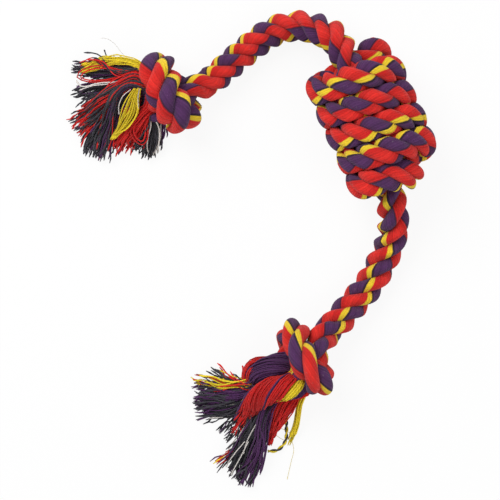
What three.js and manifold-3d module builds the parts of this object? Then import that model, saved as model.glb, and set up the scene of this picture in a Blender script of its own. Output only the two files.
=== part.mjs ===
// Rope dog toy lying on a table: one laid rope wound into a barrel knot, an overhand knot near each end,
// and each end unlaid into a tassel of loose yarn. Millimetres, +Z up, seen from above in its photograph.
import * as THREE from "three";
import { mergeVertices } from "three/addons/utils/BufferGeometryUtils.js";
import manifoldModule from "manifold-3d";

const wasm = await manifoldModule();
wasm.setup();

// Rope
const ROPE_DIAMETER = 16;
const WOUND_DIAMETER = 13; // squeezed in the centre winding
const KNOTTED_DIAMETER = 11; // squeezed in an end knot
const PRESSED_FLAT = 0.1; // of a wound or knotted rope's diameter, where it lies on the table
const PASS_GAP = 0.6; // between two passes of squeezed rope
const JOIN_GAP = 0.3; // between two solids that meet

// Centre winding; rope in and out has its length, its turn from the axis, its drop and its shift aside
const WINDING_TURNS = 5;
const WINDING_RADIUS = 1.6 * WOUND_DIAMETER; // to the middle of the rope
const WINDING_PLACE = { x: 1, y: -2.4, angle: 113.8 }; // the flat under its middle turn is at the origin
const WINDING_IN = { length: 9, turn: 10, drop: -4, shift: -2.4 };
const WINDING_OUT = { length: 10, turn: -18, drop: 4, shift: 3 };

// End knots, placed from the winding's ends
const UPPER_KNOT = { x: -95.7, y: -27.1, angle: 22, squeeze: 0.007 };
const UPPER_KNOT_IN = { length: 18, turn: 8, drop: 8, shift: -2.4 };
const UPPER_KNOT_OUT = { length: 7, turn: -50, drop: 5, shift: 4 };
const LOWER_KNOT = { x: -48.5, y: -91.5, angle: 14, squeeze: 0.006 };
const LOWER_KNOT_IN = { length: 19, turn: 48, drop: 10, shift: 2 };
const LOWER_KNOT_OUT = { length: 8, turn: -25, drop: 4, shift: 2 };
const KNOT_PITCH = 14;
const KNOT_RADIUS = 19;

// Arms: points from the winding's end towards an end knot, with the height of the rope's underside
const UPPER_ARM = [
  [-4.7, 5.5, 18.5],
  [-10.1, 9.1, 13],
  [-16.8, 12, 7.5],
  [-24.2, 13.2, 3.3],
  [-32.5, 12.2, 1.2],
  [-40.4, 8.7, 0.5],
  [-47.7, 3.6, 0.5],
  [-54.5, -1.9, 0.8],
  [-61.1, -7.8, 2.5],
];
const LOWER_ARM = [
  [-0.7, -9.7, 12],
  [-0.6, -17.7, 7],
  [-2.4, -26.2, 3],
  [-6, -34.7, 1],
  [-10.9, -44.2, 0.5],
  [-17, -52.7, 0.5],
  [-23.6, -60.1, 1.5],
];
const BEND_LENGTH = 36; // of each stretch that flexes

// Tassels: each lock's points from its neck, with the height of its underside, its width and its thickness
const NECK_RADIUS = 5.5;
const NECK_LENGTH = 2;
const ROOT_GAP = 0.45; // between a neck and a lock, which swings round it
const YARN_ROOT = 2.2; // across a lock where it leaves its neck
const RED = 0xc42c2a;
const PURPLE = 0x4a3052;
const YELLOW = 0xd8b72c;
const CHARCOAL = 0x34323a;
const UPPER_LOCKS = {
  upper_lock_yellow_top: {
    colour: YELLOW, turn: 146, rise: 14,
    route: [[-14, 12.5, 14, 8, 6], [-23, 15, 7, 11, 7], [-33, 15, 1, 8, 5]],
  },
  upper_lock_black_left: {
    colour: CHARCOAL, turn: 176, rise: 2,
    route: [[-14, 1.5, 11, 7, 6], [-23, 2, 5, 9, 7], [-33, 2, 1, 7, 5]],
  },
  upper_lock_red_left: {
    colour: RED, turn: 204, rise: -12,
    route: [[-13.5, -6, 9, 8, 7], [-23, -11, 3.5, 12, 8], [-35, -17.5, 1, 10, 5]],
  },
  upper_lock_black_low: {
    colour: CHARCOAL, turn: 236, rise: -22,
    route: [[-8.5, -13.5, 7, 8, 7], [-14, -23, 2.5, 12, 8], [-20, -33, 1, 10, 5]],
  },
  upper_lock_yellow_front: {
    colour: YELLOW, turn: 240, rise: 40,
    route: [[-7, -12, 21, 8, 5], [-9.5, -17.5, 18, 9, 5], [-12, -23, 14.5, 4, 4]],
  },
  upper_lock_red_low: {
    colour: RED, turn: 266, rise: -10,
    route: [[-1, -14, 9.5, 6, 6], [-2.5, -22.5, 4.5, 8, 6], [-6.5, -31, 1, 7, 5]],
  },
  upper_lock_black_right: {
    colour: CHARCOAL, turn: 294, rise: -12,
    route: [[6, -14, 8.5, 6, 6], [9.5, -23, 4, 9, 7], [10.5, -33, 1, 9, 5]],
  },
};
const LOWER_LOCKS = {
  lower_lock_purple_left: {
    colour: PURPLE, turn: 178, rise: 6,
    route: [[-11, 0, 15, 10, 8], [-20, -5, 8, 13, 9], [-30, -11, 4, 15, 8], [-42, -15, 1, 18, 6]],
  },
  lower_lock_red_front: {
    colour: RED, turn: 226, rise: 34,
    route: [[-8.5, -9, 22, 9, 7], [-12, -14.5, 19, 11, 7], [-14.5, -23, 13, 9, 6]],
  },
  lower_lock_charcoal_long: {
    colour: CHARCOAL, turn: 232, rise: -24,
    route: [[-9, -14, 9, 9, 6], [-13, -29, 2.5, 13, 7], [-14, -44, 1, 17, 7], [-15, -60, 1, 20, 5]],
  },
  lower_lock_red_low: {
    colour: RED, turn: 272, rise: -8,
    route: [[3, -13.5, 12, 7, 7], [4.5, -24, 5, 9, 7], [2.5, -37.5, 1, 7, 5]],
  },
  lower_lock_yellow_thin: {
    colour: YELLOW, turn: 295, rise: -30,
    route: [[9.5, -13.5, 10.5, 3, 3], [16.5, -23, 5, 3, 3], [15.8, -40, 1, 2.5, 2.5]],
  },
};
const TWISTED_YARN_DIAMETER = 2.2;
const TWISTED_YARN_TURN = 292;
const TWISTED_YARN_RISE = 18;
const TWISTED_YARN = [
  [8, -13, 17],
  [10.7, -21.5, 7],
  [11.3, -33, 1.2],
  [10.8, -41.5, 1],
  [6.5, -46.5, 1],
  [1, -47.2, 1],
];

const part = new THREE.Group();
part.name = "rope_dog_toy";

function addPiece(name, geometry, colour) {
  const material = new THREE.MeshStandardMaterial({ color: colour, roughness: 0.9 });
  const mesh = new THREE.Mesh(geometry, material);
  mesh.name = name;
  part.add(mesh);
}

// The same number of points, evenly spaced on a smooth line through a route.
function evenPoints(route, count) {
  const curve = new THREE.CatmullRomCurve3(route, false, "centripetal");
  curve.arcLengthDivisions = 2000;
  return curve.getSpacedPoints(count - 1);
}

function routeLength(route) {
  return route.reduce((sum, spot, i) => (i ? sum + spot.distanceTo(route[i - 1]) : 0), 0);
}

// A knot's loose route along its own X axis: in through the core, wound back round it, out through the core.
// hand 1 winds one way, -1 the other; angles are in degrees round the axis from +Y towards +Z.
function looseKnot({ turns, hand, radius, spacing, pitch, coreIn, coreOut, windFrom, ropeIn, ropeOut }) {
  const half = (turns * pitch) / 2;
  const coreSteps = Math.max(2, Math.round(turns * 2));
  const windSteps = Math.round(turns * 12);
  const onAxis = (x, reach, degrees) => {
    const angle = THREE.MathUtils.degToRad(degrees);
    return new THREE.Vector3(x, reach * Math.cos(angle), reach * Math.sin(angle));
  };
  const core = (turn) => {
    const spots = [];
    for (let i = 0; i <= coreSteps; i++) {
      const along = i / coreSteps;
      spots.push(onAxis(half * (1 - 2 * along), spacing / 2, coreIn + turn + (coreOut - coreIn) * along));
    }
    return spots;
  };
  const free = (side, rope, along) => {
    const turn = THREE.MathUtils.degToRad(rope.turn);
    const reach = rope.length * along;
    const x = side * (half + reach * Math.cos(turn));
    return new THREE.Vector3(x, rope.shift + side * reach * Math.sin(turn), -rope.drop * along);
  };
  const wound = [];
  for (let i = 0; i <= windSteps; i++) {
    const along = i / windSteps;
    const grow = Math.min(1, Math.min(along, 1 - along) * turns * 1.7 + 0.45);
    wound.push(onAxis(half * (2 * along - 1), radius * grow, windFrom - hand * 360 * turns * along));
  }
  const entry = [free(1, ropeIn, 1), free(1, ropeIn, 0.5)];
  const exit = [free(-1, ropeOut, 0.5), free(-1, ropeOut, 1)];
  return [...entry, ...core(0), ...wound, ...core(180), ...exit];
}

// Moves passes of a route apart to the spacing, and keeps its bends no tighter than half of that.
function pushApart(spots, held, spacing) {
  const apart = new THREE.Vector3();
  const step = routeLength(spots) / (spots.length - 1);
  for (let i = 0; i < spots.length; i++) {
    for (let j = i + 2; j < spots.length; j++) {
      const need = spacing * Math.sin(Math.min(((j - i) * step) / spacing, Math.PI / 2));
      apart.subVectors(spots[j], spots[i]);
      const distance = apart.length();
      if (distance < need) {
        apart.multiplyScalar((need - distance) / distance / 2);
        if (!held[i]) spots[i].sub(apart);
        if (!held[j]) spots[j].add(apart);
      }
    }
  }
}

// Pulls a loose route tight: each point moves towards its neighbours, and passes that come too near
// part again. squeeze draws the points together along the knot's axis.
function pullTight(route, { spacing, count, rounds, squeeze, isHeld }) {
  const ends = 1;
  let spots = evenPoints(route, count);
  const held = spots.map((spot, i) => i < ends || i >= count - ends || isHeld(spot));
  const anyHeld = held.slice(ends, -ends).includes(true);
  for (let round = 0; round < rounds; round++) {
    const ease = Math.min(1, (2 * (rounds - round)) / rounds);
    const next = spots.map((spot) => spot.clone());
    for (let i = 1; i < count - 1; i++) {
      if (!held[i]) {
        next[i].lerp(spots[i - 1].clone().add(spots[i + 1]).multiplyScalar(0.5), 0.5 * ease);
        next[i].x *= 1 - squeeze * ease;
      }
    }
    pushApart(next, held, spacing);
    pushApart(next, held, spacing);
    const respace = !anyHeld && round % 10 === 9 && round < rounds - 30;
    spots = respace ? evenPoints(next, count) : next;
  }
  return spots;
}

// The least gap between passes of one tube, measured between points along it.
function printLeastGap(name, route, diameter) {
  const step = routeLength(route) / (route.length - 1);
  const apart = Math.ceil((diameter * Math.PI) / 2 / step);
  let least = Infinity;
  route.forEach((spot, i) => {
    for (let j = i + apart; j < route.length; j++) least = Math.min(least, spot.distanceTo(route[j]));
  });
  console.log(`${name}: least gap to itself ${(least - diameter).toFixed(2)} mm`);
}

// Stands a knot's route on the table, turned to its angle and moved from a starting point.
function placeRoute(route, place, start, diameter) {
  const lowest = Math.min(...route.map((spot) => spot.z));
  const lift = diameter * (0.5 - PRESSED_FLAT) - lowest;
  const up = new THREE.Vector3(0, 0, 1);
  const turn = THREE.MathUtils.degToRad(place.angle);
  const move = new THREE.Vector3(start.x + place.x, start.y + place.y, lift);
  return route.map((spot) => spot.clone().applyAxisAngle(up, turn).add(move));
}

// A free stretch's points, given from a starting point with the height of its underside.
function freeRoute(list, start, diameter) {
  return list.map(([x, y, under]) => new THREE.Vector3(start.x + x, start.y + y, under + diameter / 2));
}

// The stretch of a rope's line between two distances along it.
class Stretch extends THREE.Curve {
  constructor(line, from, to) {
    super();
    Object.assign(this, { line, from, to });
  }
  getPoint(along, target = new THREE.Vector3()) {
    const distance = this.from + (this.to - this.from) * along;
    return this.line.getPointAt(distance / this.line.getLength(), target);
  }
}

function tube(path, diameter, sides, steps) {
  const section = new THREE.Shape();
  for (let i = 0; i < sides; i++) {
    const angle = (2 * Math.PI * i) / sides;
    const x = (diameter / 2) * Math.cos(angle);
    const y = (diameter / 2) * Math.sin(angle);
    if (i) section.lineTo(x, y);
    else section.moveTo(x, y);
  }
  return new THREE.ExtrudeGeometry(section, { steps, extrudePath: path, bevelEnabled: false });
}

function toManifold(geometry) {
  const bare = geometry.clone();
  bare.deleteAttribute("normal");
  bare.deleteAttribute("uv");
  const merged = mergeVertices(bare, 1e-4);
  const mesh = new wasm.Mesh({
    numProp: 3,
    vertProperties: new Float32Array(merged.attributes.position.array),
    triVerts: new Uint32Array(merged.index.array),
  });
  return new wasm.Manifold(mesh);
}

function fromManifold(solid) {
  const mesh = solid.getMesh();
  const geometry = new THREE.BufferGeometry();
  geometry.setAttribute("position", new THREE.BufferAttribute(new Float32Array(mesh.vertProperties), 3));
  geometry.setIndex(new THREE.BufferAttribute(new Uint32Array(mesh.triVerts), 1));
  geometry.computeVertexNormals();
  return geometry;
}

// Cuts off what lies below the table, which leaves the flats that the toy rests on.
function cutFlat(geometry) {
  const reach = 1000;
  const below = new THREE.BoxGeometry(reach, reach, reach);
  below.translate(0, 0, -reach / 2);
  return fromManifold(toManifold(geometry).subtract(toManifold(below)));
}

// A lock of yarn: oval rings along a route, each [x, y, z, width, height], closed at both ends.
function yarnLock(rings) {
  const sides = 10;
  const steps = 8;
  const middles = rings.map(([x, y, z]) => new THREE.Vector3(x, y, z));
  const centre = new THREE.CatmullRomCurve3(middles, false, "centripetal");
  const sizes = new THREE.CatmullRomCurve3(rings.map((ring) => new THREE.Vector3(ring[3], ring[4], 0)));
  const up = new THREE.Vector3(0, 0, 1);
  const spots = [];
  for (let i = 0; i <= steps; i++) {
    const middle = centre.getPoint(i / steps);
    const size = sizes.getPoint(i / steps);
    const ahead = centre.getTangent(i / steps);
    const side = new THREE.Vector3().crossVectors(up, ahead).normalize();
    const over = new THREE.Vector3().crossVectors(ahead, side);
    for (let k = 0; k < sides; k++) {
      const angle = (2 * Math.PI * k) / sides;
      const spot = middle.clone().addScaledVector(side, (size.x / 2) * Math.cos(angle));
      spot.addScaledVector(over, (size.y / 2) * Math.sin(angle));
      spots.push(spot);
    }
  }
  const faces = [];
  for (let i = 0; i < steps; i++) {
    for (let k = 0; k < sides; k++) {
      const a = i * sides + k;
      const b = i * sides + ((k + 1) % sides);
      faces.push(a, b, b + sides, a, b + sides, a + sides);
    }
  }
  const last = steps * sides;
  for (let k = 1; k < sides - 1; k++) {
    faces.push(0, k + 1, k, last, last + k, last + k + 1);
  }
  const geometry = new THREE.BufferGeometry().setFromPoints(spots);
  geometry.setIndex(faces);
  geometry.computeVertexNormals();
  return geometry;
}

// The rope's route, from the upper tail to the lower tail
function endKnot(place, start, ropeIn, ropeOut) {
  const spacing = KNOTTED_DIAMETER + PASS_GAP;
  const loose = looseKnot({
    turns: 1,
    hand: -1,
    radius: KNOT_RADIUS,
    spacing,
    pitch: KNOT_PITCH,
    coreIn: 135,
    coreOut: 225,
    windFrom: -90,
    ropeIn,
    ropeOut,
  });
  const isHeld = () => false;
  const tight = pullTight(loose, { spacing, count: 72, rounds: 400, squeeze: place.squeeze, isHeld });
  return placeRoute(tight, place, start, KNOTTED_DIAMETER);
}

const woundSpacing = WOUND_DIAMETER + PASS_GAP;
const looseCentre = looseKnot({
  turns: WINDING_TURNS,
  hand: 1,
  radius: WINDING_RADIUS,
  spacing: woundSpacing,
  pitch: woundSpacing,
  coreIn: 124,
  coreOut: 195,
  windFrom: 150,
  ropeIn: WINDING_IN,
  ropeOut: WINDING_OUT,
});
const onFullTurn = (spot) => Math.hypot(spot.y, spot.z) > 0.985 * WINDING_RADIUS;
const tightCentre = pullTight(looseCentre, {
  spacing: woundSpacing,
  count: 260,
  rounds: 200,
  squeeze: 0,
  isHeld: onFullTurn,
});
const origin = new THREE.Vector3();
const centre = placeRoute(tightCentre, WINDING_PLACE, origin, WOUND_DIAMETER);
const upperStart = centre[0];
const lowerStart = centre[centre.length - 1];
const upperKnot = endKnot(UPPER_KNOT, upperStart, UPPER_KNOT_IN, UPPER_KNOT_OUT).reverse();
const lowerKnot = endKnot(LOWER_KNOT, lowerStart, LOWER_KNOT_IN, LOWER_KNOT_OUT);
const upperArm = freeRoute(UPPER_ARM, upperStart, ROPE_DIAMETER).reverse();
const lowerArm = freeRoute(LOWER_ARM, lowerStart, ROPE_DIAMETER);
const eased = 3; // points left out at each end of the winding's route, where it runs on into an arm
const easedLength = (eased * routeLength(centre)) / (centre.length - 1);
const spots = [...upperKnot, ...upperArm, ...centre.slice(eased, -eased), ...lowerArm, ...lowerKnot];
const rope = new THREE.CatmullRomCurve3(spots, false, "centripetal");
const lineSteps = 10 * spots.length;
rope.arcLengthDivisions = lineSteps;
const lengths = rope.getLengths();
const distanceTo = (index) => lengths[Math.round((index * lineSteps) / (spots.length - 1))];

// Where one stretch of the rope ends and the next begins, as distances along it
const centreFrom = upperKnot.length + upperArm.length - eased;
const passReach = (WINDING_TURNS * woundSpacing) / 2 - woundSpacing;
const upperPassLast = tightCentre.findIndex((spot) => spot.x < -passReach);
const lowerPassFirst = tightCentre.findLastIndex((spot) => spot.x > passReach);
const marks = {
  upperKnot: distanceTo(upperKnot.length - 1),
  centreStart: distanceTo(centreFrom + eased) - easedLength,
  windingStart: distanceTo(centreFrom + upperPassLast),
  windingEnd: distanceTo(centreFrom + lowerPassFirst),
  centreEnd: distanceTo(centreFrom + centre.length - 1 - eased) + easedLength,
  lowerKnot: distanceTo(spots.length - lowerKnot.length),
  end: rope.getLength(),
};

// A stretch of the rope: round and smooth where it is free, a plainer tube cut flat below where it is wound.
const FREE = { sides: 12, stepLength: 4, flat: false };
const PASS = { sides: 10, stepLength: 2.4, flat: false };
const WOUND = { sides: 6, stepLength: (2 * Math.PI * WINDING_RADIUS) / 24, flat: true };
const KNOTTED = { sides: 6, stepLength: 2.7, flat: true };

function addRope(name, from, to, diameter, form, colour) {
  const path = new Stretch(rope, from + JOIN_GAP / 2, to - JOIN_GAP / 2);
  const solid = tube(path, diameter, form.sides, Math.ceil((to - from) / form.stepLength));
  addPiece(name, form.flat ? cutFlat(solid) : solid, colour);
  if (form.flat) printLeastGap(name, path.getSpacedPoints(Math.ceil((to - from) / 1.5)), diameter);
}

addRope("centre_upper_pass", marks.centreStart, marks.windingStart, WOUND_DIAMETER, PASS, PURPLE);
addRope("centre_winding", marks.windingStart, marks.windingEnd, WOUND_DIAMETER, WOUND, RED);
addRope("centre_lower_pass", marks.windingEnd, marks.centreEnd, WOUND_DIAMETER, PASS, PURPLE);
addRope("upper_knot", 0, marks.upperKnot, KNOTTED_DIAMETER, KNOTTED, RED);
addRope("lower_knot", marks.lowerKnot, marks.end, KNOTTED_DIAMETER, KNOTTED, RED);

const upperBend = marks.upperKnot + BEND_LENGTH;
const upperRoot = marks.centreStart - BEND_LENGTH;
addRope("upper_rope_outer", marks.upperKnot, upperBend, ROPE_DIAMETER, FREE, PURPLE);
addRope("upper_rope_middle", upperBend, upperRoot, ROPE_DIAMETER, FREE, RED);
addRope("upper_rope_inner", upperRoot, marks.centreStart, ROPE_DIAMETER, FREE, PURPLE);
const lowerRoot = marks.centreEnd + BEND_LENGTH;
const lowerBend = marks.lowerKnot - BEND_LENGTH;
addRope("lower_rope_inner", marks.centreEnd, lowerRoot, ROPE_DIAMETER, FREE, PURPLE);
addRope("lower_rope_middle", lowerRoot, lowerBend, ROPE_DIAMETER, FREE, RED);
addRope("lower_rope_outer", lowerBend, marks.lowerKnot, ROPE_DIAMETER, FREE, PURPLE);

// A lock starts just off the neck's round end, and its route is given from the middle of that end.
function lockRoot(hub, turnDegrees, riseDegrees, beyond = 0) {
  const turn = THREE.MathUtils.degToRad(turnDegrees);
  const rise = THREE.MathUtils.degToRad(riseDegrees);
  const level = Math.cos(rise);
  const out = new THREE.Vector3(level * Math.cos(turn), level * Math.sin(turn), Math.sin(rise));
  return hub.clone().addScaledVector(out, NECK_RADIUS + ROOT_GAP + beyond);
}

function lockRings(hub, lock) {
  const root = lockRoot(hub, lock.turn, lock.rise);
  const rest = lock.route.map(([x, y, under, width, height]) => {
    return [hub.x + x, hub.y + y, under + height / 2, width, height];
  });
  return [[root.x, root.y, root.z, YARN_ROOT, YARN_ROOT], ...rest];
}

// The neck that comes out of an end knot, and the locks of yarn on it
function addTassel(prefix, tailEnd, outwards, locks) {
  const hub = tailEnd.clone().addScaledVector(outwards, JOIN_GAP / 2 + NECK_RADIUS + NECK_LENGTH);
  const neck = new THREE.CapsuleGeometry(NECK_RADIUS, NECK_LENGTH, 4, 12);
  neck.applyQuaternion(new THREE.Quaternion().setFromUnitVectors(new THREE.Vector3(0, 1, 0), outwards));
  neck.translate(...hub.clone().addScaledVector(outwards, -NECK_LENGTH / 2).toArray());
  addPiece(`${prefix}_neck`, neck, PURPLE);
  for (const [name, lock] of Object.entries(locks)) {
    addPiece(name, yarnLock(lockRings(hub, lock)), lock.colour);
  }
  return hub;
}

addTassel("upper", rope.getPoint(0), rope.getTangent(0).negate(), UPPER_LOCKS);
const lowerHub = addTassel("lower", rope.getPoint(1), rope.getTangent(1), LOWER_LOCKS);
const yarnRoot = [0, TWISTED_YARN_DIAMETER].map((beyond) => {
  return lockRoot(lowerHub, TWISTED_YARN_TURN, TWISTED_YARN_RISE, beyond);
});
const yarnSpots = freeRoute(TWISTED_YARN, lowerHub, TWISTED_YARN_DIAMETER);
const yarnLine = new THREE.CatmullRomCurve3([...yarnRoot, ...yarnSpots]);
addPiece("lower_twisted_yarn", tube(yarnLine, TWISTED_YARN_DIAMETER, 8, 12), CHARCOAL);

export default part;
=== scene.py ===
import math

import bpy
import numpy as np
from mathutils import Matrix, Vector


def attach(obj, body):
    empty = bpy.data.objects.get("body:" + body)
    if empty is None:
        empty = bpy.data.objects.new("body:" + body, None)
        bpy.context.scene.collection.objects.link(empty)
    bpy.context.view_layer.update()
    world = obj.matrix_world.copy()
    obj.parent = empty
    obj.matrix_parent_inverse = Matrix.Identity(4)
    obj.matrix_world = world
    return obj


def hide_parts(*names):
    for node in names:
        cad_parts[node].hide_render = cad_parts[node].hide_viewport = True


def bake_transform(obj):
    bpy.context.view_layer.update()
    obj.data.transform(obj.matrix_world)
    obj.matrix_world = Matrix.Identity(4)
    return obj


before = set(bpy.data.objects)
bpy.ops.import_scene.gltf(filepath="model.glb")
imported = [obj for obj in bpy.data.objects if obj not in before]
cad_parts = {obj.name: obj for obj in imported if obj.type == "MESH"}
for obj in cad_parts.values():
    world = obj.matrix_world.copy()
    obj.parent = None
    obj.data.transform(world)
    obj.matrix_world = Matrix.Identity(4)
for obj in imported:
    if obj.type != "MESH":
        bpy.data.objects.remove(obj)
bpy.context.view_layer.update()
bpy.ops.object.select_all(action="DESELECT")
MM = 0.001

# The camera hangs straight above the table, on which the toy lies on its side. The photograph is square,
# and 0.55 mm of the toy fills one of its pixels.
PHOTO_WIDTH = 275 * MM
PHOTO_MIDDLE = (-66.1 * MM, -73.3 * MM)
CAMERA_HEIGHT = 1.4
SUBJECT_HEIGHT = 15 * MM
SENSOR_WIDTH = 36
FARTHEST_SEEN = 20
bpy.ops.object.camera_add(location=(*PHOTO_MIDDLE, CAMERA_HEIGHT), rotation=(0, 0, 0))
camera = bpy.context.object
camera.name = "photo_camera"
camera.data.sensor_width = SENSOR_WIDTH
camera.data.lens = SENSOR_WIDTH * (CAMERA_HEIGHT - SUBJECT_HEIGHT) / PHOTO_WIDTH
camera.data.clip_end = FARTHEST_SEEN
bpy.context.scene.camera = camera

# The rope's line. One soft three-strand rope makes the whole toy: its middle is wound five times round
# itself into a barrel, and an overhand knot is tied near each end. This follows the rope as it is tied:
# each knot is laid loosely round its own axis, then pulled tight until its passes press on each other.
ROPE = 16 * MM
WOUND = 13 * MM
KNOTTED = 11 * MM
PASS_GAP = 0.6 * MM
PRESSED_FLAT = 0.1
LINE_STEPS = 12


def smooth_line(spots, per_step):
    """Points on a smooth line through the given ones, per_step to each stretch."""
    spots = np.asarray(spots, float)
    ends = np.vstack([2 * spots[0] - spots[1], spots, 2 * spots[-1] - spots[-2]])
    p0, p1, p2, p3 = ends[:-3], ends[1:-2], ends[2:-1], ends[3:]
    steps = np.sqrt(np.linalg.norm(np.diff(ends, axis=0), axis=1))[:, None]
    d0, d1, d2 = steps[:-2], steps[1:-1], steps[2:]
    out = ((p1 - p0) / d0 - (p2 - p0) / (d0 + d1) + (p2 - p1) / d1) * d1
    into = ((p2 - p1) / d1 - (p3 - p1) / (d1 + d2) + (p3 - p2) / d2) * d1
    line = []
    for k in range(per_step):
        t = k / per_step
        line.append(
            p1 + out * t + (3 * (p2 - p1) - 2 * out - into) * t**2 + (2 * (p1 - p2) + out + into) * t**3
        )
    return np.vstack([np.stack(line, 1).reshape(-1, spots.shape[1]), spots[-1:]])


def distances(line):
    """How far along a line each of its points is."""
    return np.concatenate([[0], np.cumsum(np.linalg.norm(np.diff(line[:, :3], axis=0), axis=1))])


def at_distances(line, wanted):
    """Where a line is, and what else it carries, at the wanted distances along it."""
    along = distances(line)
    return np.stack([np.interp(wanted, along, column) for column in line.T], -1)


def even_points(route, count):
    """A number of points, evenly spaced, on a smooth line through a route."""
    line = smooth_line(route, LINE_STEPS)
    return at_distances(line, np.linspace(0, distances(line)[-1], count))


TURN_STEPS = 12
FIRST_REACH = 0.45
REACH_GROWS = 1.7


def loose_knot(turns, hand, radius, spacing, pitch, core_in, core_out, wind_from, rope_in, rope_out):
    """A knot before it is pulled tight: in through its core, wound back round that, out through the core."""
    half = turns * pitch / 2

    def round_axis(x, reach, degrees):
        angle = math.radians(degrees)
        return (x, reach * math.cos(angle), reach * math.sin(angle))

    def core(turn):
        steps = max(2, round(turns * 2))
        angles = [core_in + turn + (core_out - core_in) * i / steps for i in range(steps + 1)]
        return [round_axis(half * (1 - 2 * i / steps), spacing / 2, a) for i, a in enumerate(angles)]

    def free(side, rope, share):
        length, turn, drop, shift = rope
        reach = length * share
        turn = math.radians(turn)
        x = side * (half + reach * math.cos(turn))
        return (x, shift + side * reach * math.sin(turn), -drop * share)

    wound = []
    steps = round(turns * TURN_STEPS)
    for i in range(steps + 1):
        t = i / steps
        grow = min(1, min(t, 1 - t) * turns * REACH_GROWS + FIRST_REACH)
        wound.append(round_axis(half * (2 * t - 1), radius * grow, wind_from - hand * 360 * turns * t))
    entry = [free(1, rope_in, 1), free(1, rope_in, 0.5)]
    way_out = [free(-1, rope_out, 0.5), free(-1, rope_out, 1)]
    return np.array(entry + core(0) + wound + core(180) + way_out)


def push_apart(spots, held, spacing):
    """Passes of rope that lie nearer than the spacing press each other away."""
    count = len(spots)
    step = distances(spots)[-1] / (count - 1)
    apart = np.arange(count)[None, :] - np.arange(count)[:, None]
    need = spacing * np.sin(np.minimum(np.abs(apart) * step / spacing, math.pi / 2))
    gap = np.linalg.norm(spots[None] - spots[:, None], axis=2)
    for i, j in np.argwhere((gap < need) & (apart >= 2)):
        away = spots[j] - spots[i]
        distance = math.sqrt(away @ away)
        if distance < need[i, j]:
            away *= (need[i, j] - distance) / distance / 2
            if not held[i]:
                spots[i] -= away
            if not held[j]:
                spots[j] += away


PULL = 0.5
RESPACE_EVERY = 10
SETTLE_ROUNDS = 30


def pull_tight(route, spacing, count, rounds, squeeze, held_beyond):
    """Each point moves towards its neighbours, and passes that come too near part again."""
    spots = even_points(route, count)
    held = np.hypot(spots[:, 1], spots[:, 2]) > held_beyond
    wound_fast = held[1:-1].any()
    held[[0, -1]] = True
    for turn in range(rounds):
        ease = min(1, 2 * (rounds - turn) / rounds)
        following = spots.copy()
        middle = (spots[:-2] + spots[2:]) / 2
        following[1:-1] += PULL * ease * (middle - spots[1:-1])
        following[1:-1, 0] *= 1 - squeeze * ease
        following[held] = spots[held]
        push_apart(following, held, spacing)
        push_apart(following, held, spacing)
        due = turn % RESPACE_EVERY == RESPACE_EVERY - 1 and turn < rounds - SETTLE_ROUNDS
        spots = even_points(following, count) if due and not wound_fast else following
    return spots


def set_down(route, place, start, diameter):
    """Lays a knot on the table at its place and angle, pressed a little flat."""
    x, y, degrees = place
    turn = math.radians(degrees)
    c, s = math.cos(turn), math.sin(turn)
    lift = diameter * (0.5 - PRESSED_FLAT) - route[:, 2].min()
    laid = np.stack([c * route[:, 0] - s * route[:, 1], s * route[:, 0] + c * route[:, 1], route[:, 2]], 1)
    return laid + (start[0] + x, start[1] + y, lift)


def free_route(points, start, diameter):
    """Points in millimetres from a start, with the height of the rope's underside."""
    points = np.array(points) * MM
    return points + (start[0], start[1], diameter / 2)


WOUND_SPACING = WOUND + PASS_GAP
WINDING_TURNS = 5
WINDING_RADIUS = 20.8 * MM
WINDING_ANGLE = 113.8
HELD_FROM = 0.985 * WINDING_RADIUS
loose_winding = loose_knot(
    turns=WINDING_TURNS,
    hand=1,
    radius=WINDING_RADIUS,
    spacing=WOUND_SPACING,
    pitch=WOUND_SPACING,
    core_in=124,
    core_out=195,
    wind_from=150,
    rope_in=(9 * MM, 10, -4 * MM, -2.4 * MM),
    rope_out=(10 * MM, -18, 4 * MM, 3 * MM),
)
tight_winding = pull_tight(
    loose_winding, WOUND_SPACING, count=260, rounds=200, squeeze=0, held_beyond=HELD_FROM
)
winding_spots = set_down(tight_winding, (1 * MM, -2.4 * MM, WINDING_ANGLE), (0, 0, 0), WOUND)
upper_start = winding_spots[0]
lower_start = winding_spots[-1]


def end_knot(place, start, squeeze, rope_in, rope_out):
    """An overhand knot, pulled tight and laid on the table."""
    spacing = KNOTTED + PASS_GAP
    loose = loose_knot(
        turns=1,
        hand=-1,
        radius=19 * MM,
        spacing=spacing,
        pitch=14 * MM,
        core_in=135,
        core_out=225,
        wind_from=-90,
        rope_in=rope_in,
        rope_out=rope_out,
    )
    tight = pull_tight(loose, spacing, count=72, rounds=400, squeeze=squeeze, held_beyond=math.inf)
    return set_down(tight, place, start, KNOTTED)


UPPER_KNOT_ANGLE = 22
LOWER_KNOT_ANGLE = 14
upper_knot = end_knot(
    place=(-95.7 * MM, -27.1 * MM, UPPER_KNOT_ANGLE),
    start=upper_start,
    squeeze=0.007,
    rope_in=(18 * MM, 8, 8 * MM, -2.4 * MM),
    rope_out=(7 * MM, -50, 5 * MM, 4 * MM),
)[::-1]
lower_knot = end_knot(
    place=(-48.5 * MM, -91.5 * MM, LOWER_KNOT_ANGLE),
    start=lower_start,
    squeeze=0.006,
    rope_in=(19 * MM, 48, 10 * MM, 2 * MM),
    rope_out=(8 * MM, -25, 4 * MM, 2 * MM),
)
UPPER_ARM = [
    (-4.7, 5.5, 18.5),
    (-10.1, 9.1, 13),
    (-16.8, 12, 7.5),
    (-24.2, 13.2, 3.3),
    (-32.5, 12.2, 1.2),
    (-40.4, 8.7, 0.5),
    (-47.7, 3.6, 0.5),
    (-54.5, -1.9, 0.8),
    (-61.1, -7.8, 2.5),
]
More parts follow.
